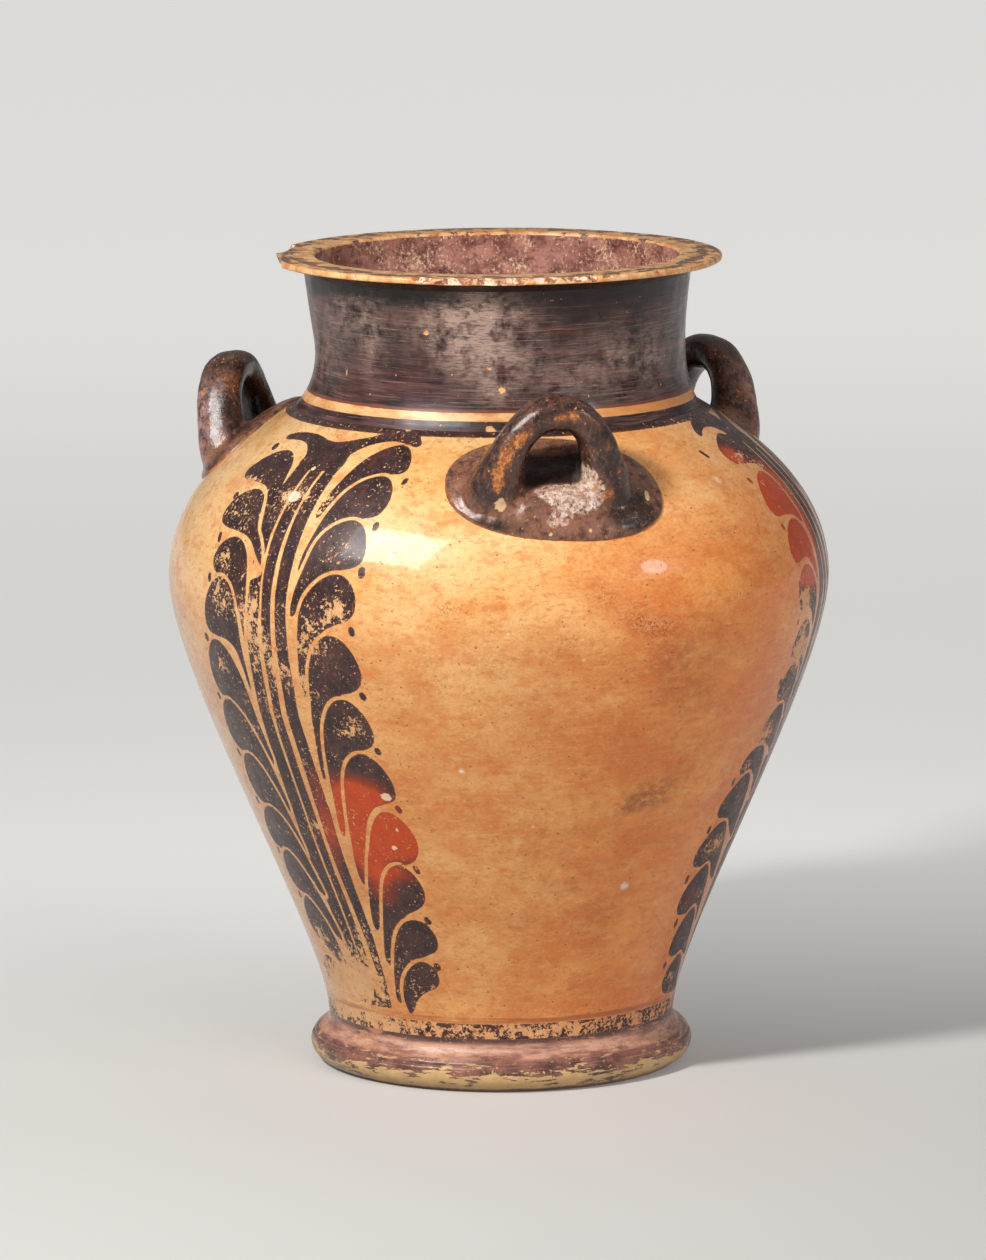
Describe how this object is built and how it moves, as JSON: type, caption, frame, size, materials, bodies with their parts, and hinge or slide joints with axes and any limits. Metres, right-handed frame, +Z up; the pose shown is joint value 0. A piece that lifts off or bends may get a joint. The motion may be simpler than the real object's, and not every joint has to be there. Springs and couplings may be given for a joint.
{
  "type": "pithos",
  "caption": "Wide-mouthed storage jar with a torus foot, swelling shoulder, short flaring neck and upright coil handles on oval pads.",
  "frame": {"origin": "middle of the resting plane, on the wheel axis", "axes": "+Z up along the wheel axis; one handle faces -Y"},
  "size_m": [0.364, 0.3646, 0.45],
  "materials": {
    "clay": "burnished",
    "slip": "satin",
    "worn_slip": "glossy, worn",
    "lip_clay": "worn"
  },
  "bodies": {
    "root": {"foot": "slip", "lower_body": "clay", "shoulder": "clay", "neck": "slip", "lip": "lip_clay", "handle_front": "worn_slip", "handle_root_front": "slip", "handle_right": "worn_slip", "handle_root_right": "slip", "handle_left": "worn_slip", "handle_root_left": "slip"}
  },
  "joints": []
}
